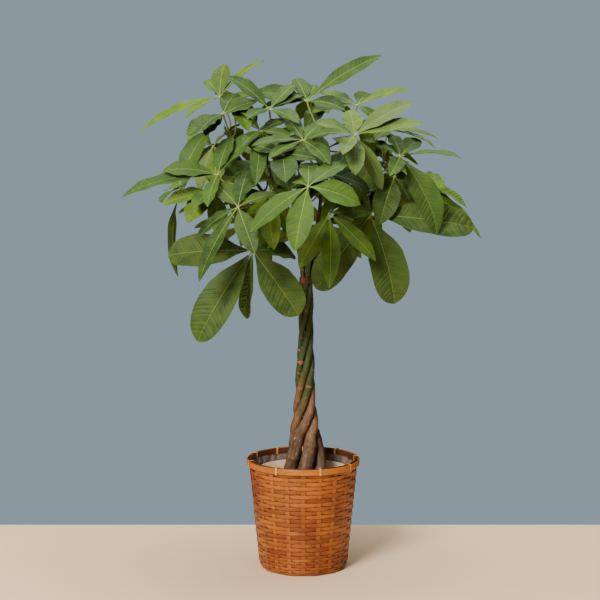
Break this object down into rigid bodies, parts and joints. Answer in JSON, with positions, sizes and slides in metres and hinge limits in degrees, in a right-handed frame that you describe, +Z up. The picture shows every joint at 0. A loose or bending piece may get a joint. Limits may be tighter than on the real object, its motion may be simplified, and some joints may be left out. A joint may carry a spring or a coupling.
{
  "type": "potted money tree",
  "caption": "Money tree with a braided trunk and a round crown of palmate leaves, in a plastic pot and film liner inside a tapered woven bamboo basket.",
  "frame": {"origin": "centre of the basket's underside, on the floor", "axes": "+Z up along the trunk, +X to the right and +Y to the back, seen from the front"},
  "size_m": [0.8704, 0.7408, 1.25],
  "materials": {
    "basket_weave": "satin",
    "basket_rim": "satin",
    "rim_binding": "satin",
    "liner_film": "gloss",
    "pot_plastic": "satin",
    "soil": "matte",
    "bark": "matte",
    "tie_band": "satin",
    "leaf": "satin"
  },
  "bodies": {
    "root": {"woven_basket": "basket_weave", "rim_hoop_outer": "basket_rim", "rim_hoop_inner": "basket_rim", "rim_tie_1": "rim_binding", "rim_tie_2": "rim_binding", "rim_tie_3": "rim_binding", "rim_tie_4": "rim_binding", "rim_tie_5": "rim_binding", "rim_tie_6": "rim_binding", "rim_tie_7": "rim_binding", "rim_tie_8": "rim_binding", "rim_tie_9": "rim_binding", "basket_liner": "liner_film", "inner_pot": "pot_plastic", "soil": "soil", "stem_1": "bark", "stem_2": "bark", "stem_3": "bark", "stem_4": "bark", "stem_5": "bark", "braid_tie": "tie_band", "leaf_01": "leaf", "leaf_02": "leaf", "leaf_03": "leaf", "leaf_04": "leaf", "leaf_05": "leaf", "leaf_06": "leaf", "leaf_07": "leaf", "leaf_08": "leaf", "leaf_09": "leaf", "leaf_10": "leaf", "leaf_11": "leaf", "leaf_12": "leaf", "leaf_13": "leaf", "leaf_14": "leaf", "leaf_15": "leaf", "leaf_16": "leaf", "leaf_17": "leaf", "leaf_18": "leaf", "leaf_19": "leaf", "leaf_20": "leaf", "leaf_21": "leaf", "leaf_22": "leaf", "leaf_23": "leaf", "leaf_24": "leaf", "leaf_25": "leaf", "leaf_26": "leaf", "leaf_27": "leaf", "leaf_28": "leaf", "leaf_29": "leaf", "leaf_30": "leaf", "leaf_31": "leaf", "leaf_32": "leaf", "leaf_33": "leaf", "leaf_34": "leaf", "leaf_35": "leaf", "leaf_36": "leaf", "leaf_37": "leaf", "leaf_38": "leaf", "leaf_39": "leaf"}
  },
  "joints": []
}
